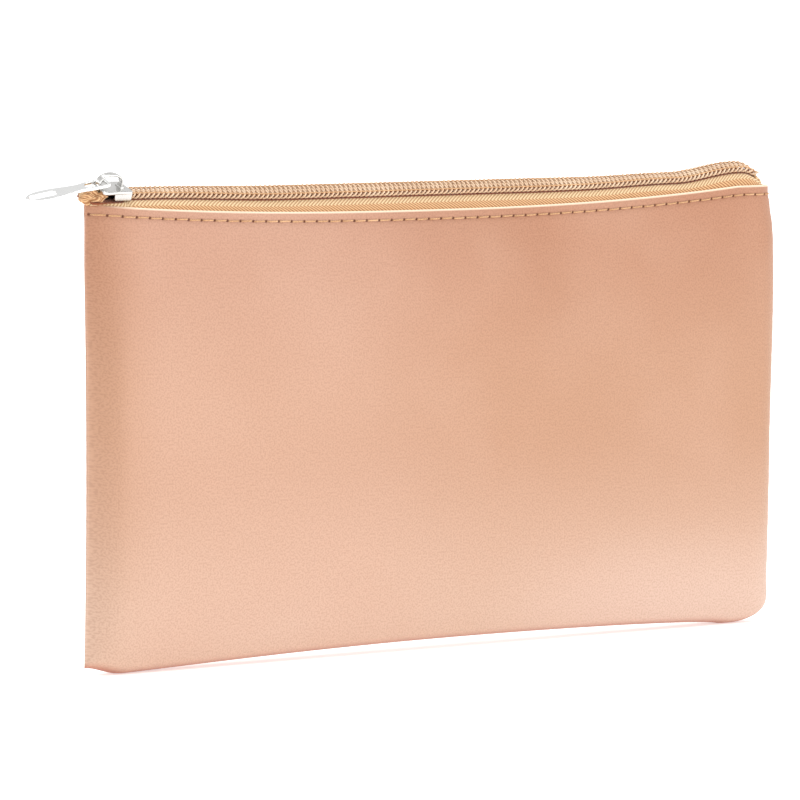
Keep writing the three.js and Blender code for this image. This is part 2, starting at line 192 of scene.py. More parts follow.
def sweep(path, ring, reference):
    """Points and faces of a closed bar: a ring of (side, up) offsets carried along a path."""
    path = np.asarray(path, float)
    ring = np.asarray(ring, float)
    side, up = side_and_up(path, reference)
    if ring.ndim == 2:
        ring = np.broadcast_to(ring, (len(path),) + ring.shape)
    points = path[:, None] + ring[..., :1] * side[:, None] + ring[..., 1:] * up[:, None]
    count = ring.shape[1]
    faces = grid_quads(len(path), count, wrap=True)
    faces.append(list(range(count))[::-1])
    faces.append(list(range((len(path) - 1) * count, len(path) * count)))
    return points.reshape(-1, 3), faces


def circle(radius, sides):
    angles = np.arange(sides) * 2 * math.pi / sides
    return np.stack([radius * np.cos(angles), radius * np.sin(angles)], axis=-1)


def gathered(parts):
    """Several (points, faces) as one."""
    points, faces, start = [], [], 0
    for some_points, some_faces in parts:
        points.append(some_points)
        faces += [[i + start for i in face] for face in some_faces]
        start += len(some_points)
    return np.concatenate(points), faces


def rope(path, radius, twist, reference, sides=6):
    """A two-ply thread along a path: each ply winds round it once in every twist millimetres."""
    path = np.asarray(path, float)
    length = np.concatenate([[[0]], np.cumsum(lengths(np.diff(path, axis=0)), axis=0)])
    side, up = side_and_up(path, reference)
    plies = []
    for start in (0, math.pi):
        angle = start + 2 * math.pi * length / twist
        centre = path + 0.46 * radius * (np.cos(angle) * side + np.sin(angle) * up)
        plies.append(sweep(centre, circle(0.62 * radius, sides), reference))
    return gathered(plies)


# ---- shape of a wall ----


def low_edge(x):
    """Height of the bottom outline: it stands near both corners and bows up between them. The left corner is
    nearly square and the right one round."""
    from_side = HALF_WIDTH - np.abs(x)
    left = LEFT_CORNER[1] * (1 - smoothstep(from_side / LEFT_CORNER[0]))
    inside = 1 - np.clip(from_side / RIGHT_CORNER[0], 0, 1)
    right = RIGHT_CORNER[1] * (1 - np.sqrt(1 - inside**2))
    reach = np.where(x < BOW_X, 136.0, 110.0)
    shape = np.where(x < BOW_X, 1.2, 0.6)
    bow = FOOT_BOW * np.maximum(1 - ((x - BOW_X) / reach) ** 2, 0) ** shape
    return np.where(x < 0, left, right) + bow


def top_edge(wall, x):
    left = (np.minimum(np.abs(x), SAG_END[0]) / SAG_END[0]) ** SAG_POWER[0]
    right = (np.minimum(np.abs(x), SAG_END[1]) / SAG_END[1]) ** SAG_POWER[1]
    return END_HEIGHT - TOP_SAG[wall] * (1 - np.where(x < 0, left, right))


def round_in(distance, radius, power=2.0):
    left = 1 - np.clip(distance / radius, 0, 1)
    return np.maximum(1 - left**power, 0) ** (1 / power)


def side_round(wall, x, z):
    """How far in from a side seam the wall is rounded: the front wall turns in more gently at the top of its
    left seam than elsewhere, and the back wall lies flatter."""
    if wall == "back":
        return 24.0
    return np.where(x < 0, 11 + 9 * smoothstep((z - 90) / 45), 11.0)


def seam_in(x, z):
    """How far each side seam is drawn in from the full width."""
    high = np.clip(z / END_HEIGHT, 0, 1)
    left = 1.2 * np.sin(math.pi * high) ** 0.7 + 0.5 * smoothstep((high - 0.85) / 0.15)
    right = 2.4 * smoothstep(high / 0.1) * (1 - smoothstep((high - 0.4) / 0.45))
    right = right + 2.0 * smoothstep((high - 0.88) / 0.12)
    return np.where(x < 0, left, right)


def ripple(wall, x, z):
    """Slow unevenness of the leather, in millimetres, with fixed waves."""
    turn = 0.0 if wall == "front" else 1.7
    waves = [
        (0.30, 0.034, 0.021, 0.4),
        (0.22, -0.027, 0.052, 1.9),
        (0.16, 0.071, 0.030, 3.1),
        (0.10, 0.060, -0.094, 5.0),
    ]
    return sum(size * np.sin(kx * x + kz * z + phase + turn) for size, kx, kz, phase in waves)


def pucker(x, z):
    """The seam stitches draw the leather in a little at each side."""
    from_side = HALF_WIDTH - np.abs(x)
    wave = 0.5 + 0.5 * np.sin(2 * math.pi * z / 6.2 + 1.3 * np.sin(z / 17))
    return -0.22 * np.exp(-((from_side / 5) ** 2)) * wave


def formed(wall, part, share, inset, swell=1.0):
    """The wall's designed shape. part runs from -1 at the left seam to 1 at the right one, share from 0 at
    the bottom seam to 1 at the top edge, and inset inwards from the outer surface."""
    x = part * (HALF_WIDTH - inset)
    low = inset + low_edge(x)
    z = low + share * (top_edge(wall, x) - low)
    power = 2.0 if wall == "front" else 1.4
    out = round_in(HALF_WIDTH - inset - np.abs(x), side_round(wall, x, z) - inset, power)
    out = out * round_in(z - low + FOOT_CUT * smoothstep(share / 0.02), FOOT_ROUND - inset, 2.3)
    out = out * (swell * (EDGE_DEPTH + BELLY * np.sin(math.pi * z / END_HEIGHT)) - inset)
    x = x - np.sign(x) * seam_in(x, z) * np.abs(part) ** 6
    return np.stack([x, WALLS[wall] * (HALF_GAP + np.maximum(out, 0)), z], axis=-1)


SIM_COLUMNS = 57
SIM_ROWS = 31
SIM_FRAMES = 25
SIM_SCALE = 0.01  # the solver works on a pouch ten times real size
SMOOTH_PASSES = 4
billow = {wall: np.zeros((SIM_ROWS, SIM_COLUMNS, 3)) for wall in WALLS}


def sampled(field, part, share):
    """Smooth values of a coarse grid field at finer places, by cubic weights."""
    rows, columns = field.shape[:2]
    r = np.clip(share, 0, 1) * (rows - 1)
    c = (np.clip(part, -1, 1) + 1) / 2 * (columns - 1)

    def weights(place, count):
        base = np.clip(np.floor(place).astype(int), 0, count - 2)
        t = place - base
        near = [
            -0.5 * t + t**2 - 0.5 * t**3,
            1 - 2.5 * t**2 + 1.5 * t**3,
            0.5 * t + 2 * t**2 - 1.5 * t**3,
            -0.5 * t**2 + 0.5 * t**3,
        ]
        return [(np.clip(base + k - 1, 0, count - 1), w) for k, w in enumerate(near)]

    total = 0
    for row, row_weight in weights(r, rows):
        for column, column_weight in weights(c, columns):
            total = total + field[row, column] * (row_weight * column_weight)[..., None]
    return total


def wall_point(wall, part, share, inset=0.0):
    """A point of the finished wall: its formed shape, moved as the simulated cloth moved."""
    part, share, inset = np.broadcast_arrays(*(np.asarray(v, float) for v in (part, share, inset)))
    point = formed(wall, part, share, inset)
    point = point + sampled(billow[wall], part, share)
    x, z = point[..., 0], point[..., 2]
    inwards = smoothstep((HALF_WIDTH - np.abs(x)) / 22) * smoothstep(share / 0.12)
    inwards = inwards * (1 - 0.65 * smoothstep((share - 0.9) / 0.1))
    lift = ripple(wall, x, z) * inwards + pucker(x, z) * smoothstep((HALF_WIDTH - inset - np.abs(x)) / 3)
    point[..., 1] += WALLS[wall] * lift
    return point


def simulate_billow():
    """Cloth with pressure in the closed pouch, held at its seams and along the zipper. Fills billow."""
    part = np.linspace(-1, 1, SIM_COLUMNS)[None, :]
    share = np.linspace(0, 1, SIM_ROWS)[:, None]
    part, share = np.broadcast_arrays(part, share)
    start = {wall: formed(wall, part, share, 0.0, swell=0.86) for wall in WALLS}
    number = {"front": np.arange(SIM_ROWS * SIM_COLUMNS).reshape(SIM_ROWS, SIM_COLUMNS)}
    points = [start["front"].reshape(-1, 3)]
    shared = np.zeros((SIM_ROWS, SIM_COLUMNS), bool)
    shared[0, :] = shared[:, 0] = shared[:, -1] = True
    number["back"] = number["front"].copy()
    number["back"][~shared] = points[0].shape[0] + np.arange((~shared).sum())
    points.append(start["back"][~shared])
    points = np.concatenate(points)
    faces = []
    for wall in WALLS:
        index = number[wall]
        quads = np.stack([index[:-1, :-1], index[:-1, 1:], index[1:, 1:], index[1:, :-1]], -1).reshape(-1, 4)
        faces += (quads if wall == "front" else quads[:, ::-1]).tolist()
    mesh = bpy.data.meshes.new("billow")
    mesh.from_pydata((points * SIM_SCALE).tolist(), [], faces)
    pouch = placed("billow", mesh)
    held = set(number["front"][shared].tolist())
    held |= set(number["front"][-1].tolist()) | set(number["back"][-1].tolist())
    pins = pouch.vertex_groups.new(name="held")
    pins.add(sorted(held), 1.0, "REPLACE")
    cloth = pouch.modifiers.new("cloth", "CLOTH")
    settings = cloth.settings
    settings.quality = 7
    settings.mass = 0.4
    settings.tension_stiffness = 60
    settings.compression_stiffness = 60
    settings.shear_stiffness = 30
    settings.bending_stiffness = 20
    settings.air_damping = 2
    settings.vertex_group_mass = "held"
    settings.shrink_min = -0.002
    settings.use_pressure = True
    settings.uniform_pressure_force = 0.25
    settings.effector_weights.gravity = 0
    cloth.collision_settings.use_collision = False
    scene = bpy.context.scene
    for step in range(SIM_FRAMES):
        scene.frame_set(step + 1)
    settled = pouch.evaluated_get(bpy.context.evaluated_depsgraph_get()).data
    moved = np.array([v.co for v in settled.vertices]) / SIM_SCALE
    for wall in WALLS:
        field = moved[number[wall]] - formed(wall, part, share, 0.0)
        edge = np.minimum(1, 4 * np.minimum(share, (1 - np.abs(part)) * 1.5))
        field[..., 0] *= edge
        field[..., 2] *= edge
        for _ in range(SMOOTH_PASSES):
            ends = field[:, [0, -1]].copy()
            field[:, 1:-1] = 0.25 * field[:, :-2] + 0.5 * field[:, 1:-1] + 0.25 * field[:, 2:]
            field[:, [0, -1]] = ends
        billow[wall] = field
    bpy.data.objects.remove(pouch)
    bpy.data.meshes.remove(mesh)
    scene.frame_set(1)


simulate_billow()


# ---- materials ----


class Shader:
    """A procedural material under construction: adds nodes and links their sockets."""

    def __init__(self, name, **sockets):
        self.material = bpy.data.materials.new(name)
        self.material.use_nodes = True
        self.tree = self.material.node_tree
        self.surface = self.tree.nodes["Principled BSDF"]
        for socket, value in sockets.items():
            self.surface.inputs[socket.replace("_", " ")].default_value = value

    def node(self, kind, inputs=None, **settings):
        made = self.tree.nodes.new(kind)
        for key, value in settings.items():
            setattr(made, key, value)
        for key, value in (inputs or {}).items():
            if isinstance(value, bpy.types.NodeSocket):
                self.tree.links.new(value, made.inputs[key])
            else:
                made.inputs[key].default_value = value
        return made

    def math(self, operation, *values):
        return self.node("ShaderNodeMath", dict(enumerate(values)), operation=operation).outputs[0]

    def times(self, first, second):
        return self.math("MULTIPLY", first, second)

    def blend(self, factor, first, second):
        mix = self.node("ShaderNodeMix", {0: factor, 6: first, 7: second}, data_type="RGBA")
        return mix.outputs[2]

    def ramp(self, value, low, high):
        inputs = {"Value": value, "From Min": low, "From Max": high}
        return self.node("ShaderNodeMapRange", inputs, interpolation_type="SMOOTHSTEP").outputs[0]

    def spread(self, value, low, high):
        inputs = {"Value": value, "To Min": low, "To Max": high}
        return self.node("ShaderNodeMapRange", inputs).outputs[0]

    def noise(self, scale, detail=2.0, vector=None):
        inputs = {"Scale": scale, "Detail": detail}
        if vector is not None:
            inputs["Vector"] = vector
        return self.node("ShaderNodeTexNoise", inputs).outputs["Fac"]

    def cloth_uv(self):
        return self.node("ShaderNodeUVMap", uv_map="cloth").outputs[0]

    def along_and_across(self):
        parts = self.node("ShaderNodeSeparateXYZ", {"Vector": self.cloth_uv()})
        return parts.outputs[0], parts.outputs[1]

    def place(self):
        return self.node("ShaderNodeTexCoord").outputs["Object"]

    def finish(self, colour=None, roughness=None, height=None, distance=0.0001, strength=1.0):
        if colour is not None:
            self.tree.links.new(colour, self.surface.inputs["Base Color"])
        if roughness is not None:
            self.tree.links.new(roughness, self.surface.inputs["Roughness"])
        if height is not None:
            bump = self.node("ShaderNodeBump", {"Height": height, "Distance": distance, "Strength": strength})
            self.tree.links.new(bump.outputs[0], self.surface.inputs["Normal"])
        return self.material


def leather_material():
    """Pearl-coated faux leather: a fine pebble grain and slow clouding. Painted shade deepens its colour
    towards the top; a painted sheen lightens it towards the bottom, in its left half and low on the right.
    Reddish painted shade runs along the foot, a painted highlight lies on the folded edge, and painted shade
    darkens the needle holes."""
    gloss = {"Metallic": 0.18, "Specular_IOR_Level": 0.5, "Coat_Weight": 0.08, "Coat_Roughness": 0.42}
    s = Shader("rose_gold_leather", **gloss)
    uv = s.cloth_uv()
    pebbles = s.node("ShaderNodeTexVoronoi", {"Vector": uv, "Scale": 1150.0}, feature="SMOOTH_F1")
    fine = s.noise(2600.0, 3.0, uv)
    cloud = s.noise(22.0, 2.0, uv)
    speck = s.noise(1700.0, 1.0, uv)
    along, rise = s.along_and_across()
    # along counts from the middle of the cloth and rise from its bottom seam, in metres.
    # Painted shade deepens the colour towards the top, and a painted sheen lightens it near the bottom seam.
    painted_top_shade = s.blend(s.ramp(rise, 0.075, 0.15), linear(180, 136, 107), linear(171, 120, 91))
    colour = s.blend(s.ramp(rise, 0.004, 0.075), linear(198, 165, 144), painted_top_shade)
    colour = s.blend(s.times(s.ramp(cloud, 0.35, 0.75), 0.3), colour, linear(192, 152, 128))
    # Painted sheen: the left half of the panel is lightened towards a pale pink.
    painted_left_sheen = s.times(s.ramp(along, 0.03, -0.06), s.ramp(along, -0.14, -0.116))
    painted_left_sheen = s.times(painted_left_sheen, 0.28)
    colour = s.blend(painted_left_sheen, colour, linear(206, 170, 152))
    # Painted sheen: low on the right the colour is lightened towards a pale pink.
    corner = s.times(s.ramp(along, 0.0, 0.08), s.ramp(rise, 0.044, 0.01))
    colour = s.blend(s.times(corner, 0.36), colour, linear(214, 188, 176))
    inputs = {0: s.times(s.ramp(speck, 0.4, 0.66), 0.5), 6: colour, 7: (0.74, 0.68, 0.64, 1.0)}
    colour = s.node("ShaderNodeMix", inputs, data_type="RGBA", blend_type="MULTIPLY").outputs[2]
    # Painted shade: a reddish dark band along the foot, where the leather turns under towards the bottom
    # seam.
    seam = s.ramp(rise, 0.0075, 0.001)
    colour = s.blend(s.times(seam, 0.85), colour, linear(166, 88, 60))
    # Painted highlight: the crest of the folded top edge is lightened nearly to cream.
    fold_highlight = s.node("ShaderNodeAttribute", attribute_name="fold_highlight").outputs["Fac"]
    colour = s.blend(fold_highlight, colour, linear(250, 230, 204))
    # Painted shade: the needle holes are darkened to a deep brown.
    hole = s.node("ShaderNodeAttribute", attribute_name="hole").outputs["Fac"]
    colour = s.blend(s.ramp(hole, 0.25, 0.7), colour, linear(104, 54, 28))
    rough = s.spread(fine, 0.46, 0.58)
    height = s.math("ADD", s.times(pebbles.outputs["Distance"], 0.8), s.times(fine, 0.35))
    return s.finish(colour, rough, height, distance=0.00016, strength=0.6)


TWILL_PITCH = 1.45
TWILL_BAND = 2.8
TWILL_TURN = 5.7  # the twill turns back here, halfway across the part of the tape that shows
TWILL_SHIFT = 3 * TWILL_BAND - TWILL_TURN
TWILL_SLOPE = 1.4


def tape_material():
    """Herringbone tape: twill lines that turn back at each band across it. Painted shade darkens it under the
    coil.
    """
    s = Shader("zipper_tape", Specular_IOR_Level=0.3, Sheen_Weight=0.15, Sheen_Roughness=0.5)
    along, across = s.along_and_across()
    wobble = s.times(s.noise(900.0, 1.0, s.cloth_uv()), 0.00012)
    band = s.math("PINGPONG", s.math("ADD", across, TWILL_SHIFT * MM), TWILL_BAND * MM)
    slanted = s.math("ADD", s.math("ADD", along, s.times(band, TWILL_SLOPE)), wobble)
    wave = s.math("SINE", s.times(slanted, 2 * math.pi / (TWILL_PITCH * MM)))
    rib = s.ramp(wave, -0.9, 0.7)
    yarn = s.math("SINE", s.times(across, 2 * math.pi / (0.42 * MM)))
    outer = s.ramp(across, TWILL_TURN * MM - 0.0003, TWILL_TURN * MM + 0.0003)
    dip = s.blend(outer, linear(178, 136, 94), linear(158, 102, 58))
    crest = s.blend(outer, linear(230, 202, 160), linear(220, 178, 132))
    colour = s.blend(rib, dip, crest)
    fluff = s.ramp(s.noise(2500.0, 2.0), 0.35, 0.8)
    colour = s.blend(s.times(fluff, 0.3), colour, linear(204, 164, 120))
    # Painted shade: a deep brown band along the tape's inner edge, under the coil and in the slider.
    colour = s.blend(s.ramp(across, 0.0031, 0.0026), colour, linear(132, 68, 36))
    height = s.math("ADD", rib, s.times(yarn, 0.18))
    return s.finish(colour, s.ramp(rib, -1.5, 1.3), height, distance=0.00014, strength=0.8)


def lining_material():
    """Plain woven lining cloth."""
    s = Shader("lining_cloth", Specular_IOR_Level=0.2, Sheen_Weight=0.1)
    along, across = s.along_and_across()
    turn = 2 * math.pi / (0.55 * MM)
    warp = s.math("SINE", s.times(along, turn))
    weft = s.math("SINE", s.times(across, turn))
    weave = s.times(warp, weft)
    slub = s.noise(300.0, 3.0, s.cloth_uv())
    colour = s.blend(s.ramp(weave, -1.0, 1.0), linear(196, 174, 148), linear(222, 203, 178))
    colour = s.blend(s.ramp(slub, 0.45, 0.8), colour, linear(203, 178, 150))
    rough = s.spread(slub, 0.75, 0.95)
    return s.finish(colour, rough, weave, distance=0.00008, strength=0.5)


def thread_material(name, light, dark, shine):
    """Twisted thread or nylon: fibres run round it, with a slight change of shade along its length."""
    s = Shader(name, Specular_IOR_Level=0.5, Sheen_Weight=0.05)
    fibre = s.noise(4200.0, 2.0, s.place())
    slow = s.noise(90.0, 1.0, s.place())
    colour = s.blend(s.ramp(fibre, 0.3, 0.7), dark, light)
    colour = s.blend(s.ramp(slow, 0.45, 0.8), colour, light)
    rough = s.spread(fibre, shine, shine + 0.15)
    return s.finish(colour, rough, fibre, distance=0.00003, strength=0.4)


def metal_material(name, low, high, dull, bright):
    """Nickel plate, tumbled to a soft polish: faint cloudiness and fine scratches."""
    s = Shader(name, Metallic=1.0)
    stretch = s.node("ShaderNodeMapping", {"Vector": s.place(), "Scale": (150.0, 1800.0, 1800.0)}).outputs[0]
    scratch = s.noise(1.0, 3.0, stretch)
    cloud = s.noise(260.0, 2.0, s.place())
    colour = s.blend(cloud, dull, bright)
    rough = s.spread(scratch, low, high)
    return s.finish(colour, rough, scratch, distance=0.00001, strength=0.3)


leather = leather_material()
tape_cloth = tape_material()
lining_cloth = lining_material()
coil_nylon = thread_material("coil_nylon", linear(236, 211, 182), linear(206, 164, 126), 0.36)
golden_thread = thread_material("golden_thread", linear(222, 180, 134), linear(180, 130, 84), 0.5)
# The filler cord is real, but its dark brown is painted shade for the gaps between the coil's turns.
shade_dark_cord = thread_material("shade_dark_cord", linear(150, 92, 48), linear(112, 62, 28), 0.6)
slider_nickel = metal_material("slider_nickel", 0.16, 0.3, linear(194, 193, 190), linear(212, 211, 209))
pull_nickel = metal_material("pull_nickel", 0.1, 0.2, linear(238, 238, 237), linear(246, 246, 245))


# ---- panels ----


def share_down(wall, part, down, inset):
    """The share of a wall's height that lies a distance below its top edge."""
    x = part * (HALF_WIDTH - inset)
    return 1 - down / (top_edge(wall, x) - low_edge(x) - inset)


def point_down(wall, part, down, inset=0.0):
    return wall_point(wall, part, share_down(wall, part, down, inset), inset)


def needle_marks(x, down):
    """1 at the needle holes of the topstitching, falling to 0 around them."""
    nearest = (x - STITCH_START + STITCH_PITCH / 2) % STITCH_PITCH - STITCH_PITCH / 2
    row = np.exp(-((nearest / 0.66) ** 2) - ((down - STITCH_DROP) / 0.55) ** 2)
    return row * (np.abs(x) < -STITCH_START + 0.1)


def make_panel(wall):
    """A leather sheet from the bottom seam up over its folded top edge and down again behind it."""
    edge = np.array([138.0, 139.0, 139.75, 139.9, HALF_WIDTH])
    stations = STITCH_START + STITCH_PITCH / 5 * np.arange(5 * STITCH_COUNT + 1)
    x = np.sort(np.concatenate([-edge, stations, edge]))
    part = x / HALF_WIDTH
    shares = [0, 0.0012, 0.003, 0.006, 0.01, 0.015, 0.021, 0.028, 0.036, 0.045, 0.055, 0.066]
    shares += list(np.linspace(0.08, 0.9, 58))
    downs = [12.5, 11, 9.5, 8, 6.8, 5.8, 5, 4.4, 3.9, 3.5, 3.2, 3.0, 2.8, 2.5, 2.1, 1.7, 1.3, 0.95]
    turn = FOLD / 2
    bends = np.radians(np.arange(0, 181, 15))
    behind = np.linspace(0.75, FOLD_DEPTH, 8)[1:]
    layers = {}
    for side, ply in (("outside", 0.0), ("inside", LEATHER)):
        rows = []
        for share in shares:
            rows.append(wall_point(wall, part, share, ply))
        for down in downs:
            rows.append(point_down(wall, part, down, ply))
        radius = turn - ply
        for bend in bends:
            down = turn - radius * math.sin(bend)
            rows.append(point_down(wall, part, down, turn - radius * math.cos(bend)))
        for down in behind:
            rows.append(point_down(wall, part, down, FOLD - ply))
        layers[side] = np.stack(rows)
    outside = layers["outside"]
    stitched = len(shares) + len(downs)
    down = np.full(outside.shape[:2], 99.0)
    down[: len(shares)] = top_edge(wall, x) - outside[: len(shares), :, 2]
    down[len(shares) : stitched] = np.array(downs)[:, None]
    marks = needle_marks(x[None, :], down)
    drawn = np.exp(-(((down - STITCH_DROP) / 1.1) ** 2))
    outside[..., 1] -= WALLS[wall] * (HOLE_DEPTH * marks + DRAWN_DEPTH * drawn)
    middle = outside[:, len(x) // 2]
    rise = np.concatenate([[0], np.cumsum(lengths(np.diff(middle, axis=0)))])
    uv = pairs(x[None, :], rise[:, None])
    panel = closed_sheet(f"{wall}_leather", outside, layers["inside"], uv, leather)
    # Painted highlight: crest is 1 on the crest of the folded top edge, where the leather material lightens
    # the colour.
    crest = np.zeros(down.shape)
    crest[stitched : stitched + len(bends)] = np.sin(bends)[:, None] ** 0.5
    crest *= smoothstep((x + 138) / 16)
    # These attributes carry painted light: painted shade in the needle holes and a painted highlight on the
    # folded edge.
    for name, values in (("hole", marks), ("fold_highlight", crest)):
        layer = panel.data.attributes.new(name, "FLOAT", "POINT")
        both_sides = np.concatenate([values.ravel(), np.zeros(values.size)])
        layer.data.foreach_set("value", both_sides.astype(np.float32))
    return panel


def make_lining(wall):
    """The lining cloth behind the panel, closing inside the seam margins."""
    half, low = 129.0, 10.5
    nearest = FOLD + 3 * HALF_GAP + TAPE
    x = half * np.sin(np.linspace(-math.pi / 2, math.pi / 2, 90))
    layers = []
    for inset in (nearest, nearest + LINING):
        rows = []
        for step in np.linspace(0, 1, 60):
            share_height = step**1.3
            part = x / (HALF_WIDTH - inset)
            z = low + share_height * (top_edge(wall, x) - 1.6 - low)
            share = (z - inset - low_edge(x)) / (top_edge(wall, x) - inset - low_edge(x))
            point = wall_point(wall, part, share, inset)
            close = round_in(half - np.abs(x), 10.0) * round_in(z - low, 10.0)
            slack = 0.25 * (1 + np.sin(x / 9 + 2 * np.sin(z / 21))) * close * smoothstep((1 - step) / 0.2)
            out = (np.abs(point[:, 1]) - HALF_GAP) * close - slack
            point[:, 1] = WALLS[wall] * (HALF_GAP + np.maximum(out, 0.02 * (2.5 - inset)))
            rows.append(point)
        layers.append(np.stack(rows))
    uv = np.stack([layers[0][..., 0], layers[0][..., 2]], axis=-1)
    return closed_sheet(f"{wall}_lining_cloth", layers[0], layers[1], uv, lining_cloth)


# ---- zipper chain ----


DIP_START = -118.0
HUMP_START = 97.0
FALL_START = 126.0


def chain_height(x):
    """The chain dips in the middle, is nearly level where the slider stops, then humps up and goes down into
    the right-hand seam."""
    middle = smoothstep((x - DIP_START) / 55) * smoothstep((98 - x) / 40)
    hump = HUMP * smoothstep((x - HUMP_START) / 28)
    fall = END_FALL * (np.maximum(x - FALL_START, 0) / 12.2) ** 2
    return CHAIN_HEIGHT - MIDDLE_DROP * middle + hump - fall


def chain_point(x, across, up):
    """A point of the chain's frame: across it, positive towards the front, and up from the tape."""
    x, across, up = np.broadcast_arrays(*(np.asarray(v, float) for v in (x, across, up)))
    middle = smoothstep((x - DIP_START) / 55) * smoothstep((90 - x) / 55)
    tilt = END_TILT + (MIDDLE_TILT - END_TILT) * middle
    slope = chain_height(x + 0.5) - chain_height(x - 0.5)
    steep = 1 / np.sqrt(1 + slope**2)
    rise = up * steep
    px = x - up * slope * steep
    py = -across * np.cos(tilt) - rise * np.sin(tilt)
    pz = chain_height(x) - across * np.sin(tilt) + rise * np.cos(tilt)
    return np.stack([px, py, pz], axis=-1)


TAPE_START = -139.0
TAPE_FINISH = 137.0
TAPE_TUCK = 5.5  # how far the tape reaches down behind the folded leather


def make_tape(wall):
    """A tape: flat under the coil, then bending down behind the folded edge of the leather."""
    facing = -WALLS[wall]
    x = np.arange(TAPE_START, TAPE_FINISH, COIL_PITCH / 2)
    # Near the slider the tape's inner edge moves outwards, and the painted shade band along that edge moves
    # with it.
    inner = 0.12 + 1.6 * smoothstep((-125.5 - x) / 2)
    under = -TAPE / 2 - 0.01
    flat = [chain_point(x, facing * (inner + (4.1 - inner) * t), under) for t in np.linspace(0, 1, 6)]
    start = flat[-1]
    heading = unit(start - flat[-2])
    inset = FOLD + 0.1 + TAPE / 2
    part = x / (HALF_WIDTH - inset)
    end = point_down(wall, part, 0.9, inset)
    reach = lengths(end - start)
    first = start + 0.36 * reach * heading
    second = end + 0.3 * reach * np.array([0, 0, 1.0])
    curve = []
    for t in np.linspace(0, 1, 11)[1:]:
        rest = 1 - t
        curve.append(rest**3 * start + 3 * rest**2 * t * first + 3 * rest * t**2 * second + t**3 * end)
    tuck = [point_down(wall, part, down, inset) for down in (2.2, 3.8, TAPE_TUCK)]
    line = np.stack(flat + curve + tuck)
    direction = np.gradient(line, axis=0)
    normal = unit(np.stack([0 * direction[..., 0], -direction[..., 2], direction[..., 1]], axis=-1))
    normal *= np.where(normal[..., 2].mean() < 0, -1, 1)
    steps = lengths(np.diff(line, axis=0))[..., 0]
    span = np.concatenate([np.zeros((1, len(x))), np.cumsum(steps, axis=0)])
    crumple = smoothstep((-119 - x) / 14) * smoothstep((span - 3.5) / 1.5) * smoothstep((11 - span) / 2)
    folds = 0.45 * np.sin(x[None, :] * 1.15 + span * 0.9) + 0.2 * np.sin(x[None, :] * 2.3 - span * 2.1)
    line = line + normal * (crumple * folds)[..., None]
    thick = normal * TAPE / 2
    uv = pairs(x[None, :], span)
    return closed_sheet(f"{wall}_tape_cloth", line + thick, line - thick, uv, tape_cloth)


COIL_START = -127.2
COIL_FINISH = 133.2
COIL_WIRE = 0.32
COIL_HEAD = -0.55  # each coil's heads reach this far past the chain's middle
COIL_OUTER = 3.0
COIL_LOW = 0.02
COIL_TOP = 2.14
COIL_POINTS = 22  # along each turn
CORD_ACROSS = 1.35
THREAD_ACROSS = 2.1


def loop_outline(count):
    """One turn of the coil: (across, up) of two legs joined by round ends, and how far each point has stepped
    on to the next turn, which happens at the outer end."""
    radius = (COIL_TOP - COIL_LOW) / 2 - COIL_WIRE
    middle_up = (COIL_TOP + COIL_LOW) / 2
    head = COIL_HEAD + radius
    outer = COIL_OUTER - COIL_WIRE - radius
    straight = outer - head
    total = 2 * straight + 2 * math.pi * radius
    points = []
    for step in np.arange(count) / count * total:
        if step < math.pi * radius:
            angle = -math.pi / 2 + step / radius
            points.append((outer + radius * math.cos(angle), middle_up + radius * math.sin(angle)))
        elif step < math.pi * radius + straight:
            points.append((outer - (step - math.pi * radius), middle_up + radius))
        elif step < 2 * math.pi * radius + straight:
            angle = math.pi / 2 + (step - math.pi * radius - straight) / radius
            points.append((head + radius * math.cos(angle), middle_up + radius * math.sin(angle)))
        else:
            points.append((head + (step - 2 * math.pi * radius - straight), middle_up - radius))
    advance = smoothstep(np.arange(count) / count * total / (math.pi * radius * 1.15))
    return np.array(points), advance


def make_coil(wall):
    """A nylon filament wound into a flat coil whose heads pass between those of the other coil."""
    facing = -WALLS[wall]
    shape, advance = loop_outline(COIL_POINTS)
    turns = int((COIL_FINISH - COIL_START) / COIL_PITCH)
    start = COIL_START + (0 if wall == "front" else COIL_PITCH / 2)
    x = (start + COIL_PITCH * (np.arange(turns)[:, None] + advance[None, :])).ravel()
    shape = np.tile(shape, (turns, 1))
    path = chain_point(x, facing * shape[:, 0], shape[:, 1])
    return mesh_object(f"{wall}_nylon_coil", *sweep(path, circle(COIL_WIRE, 7), ALONG), coil_nylon)


def make_coil_cord(wall):
    x = np.arange(COIL_START, COIL_FINISH, 0.6)
    path = chain_point(x, -WALLS[wall] * CORD_ACROSS, (COIL_TOP + COIL_LOW) / 2)
    cord = rope(path, radius=0.26, twist=1.4, reference=UP)
    return mesh_object(f"{wall}_filler_cord", *cord, shade_dark_cord)


def make_coil_thread(wall):
    """The sewing thread that holds the coil down: over each turn and into the gap after it."""
    x = np.arange(COIL_START + 0.4, COIL_FINISH - 0.4, COIL_PITCH / 6)
    phase = 0 if wall == "front" else math.pi
    lift = 2.1 + 0.14 * np.cos(2 * math.pi * (x - COIL_START) / COIL_PITCH + phase)
    path = chain_point(x, -WALLS[wall] * THREAD_ACROSS, lift)
    thread = rope(path, radius=0.2, twist=COIL_PITCH, reference=UP, sides=5)
    return mesh_object(f"{wall}_coil_stitches", *thread, golden_thread)


def make_topstitch(wall):
    """Separate stitches, each from one needle hole to the next."""
    parts = []
    for k in range(STITCH_COUNT):
        t = np.linspace(0, 1, 13)
        x = STITCH_START + STITCH_PITCH * (k + 0.09 + 0.82 * t)
        lean = 0.16 * (t - 0.5) + 0.05 * math.sin(2.4 * k)
        part = x / HALF_WIDTH
        path = point_down(wall, part, STITCH_DROP - lean)
        proud = -0.42 + 0.66 * np.sin(math.pi * t) ** 0.5
        path[:, 1] += WALLS[wall] * proud
        parts.append(rope(path, radius=0.24, twist=1.5, reference=UP, sides=5))
    return mesh_object(f"{wall}_stitches", *gathered(parts), golden_thread)


# ---- tape ends and seams ----


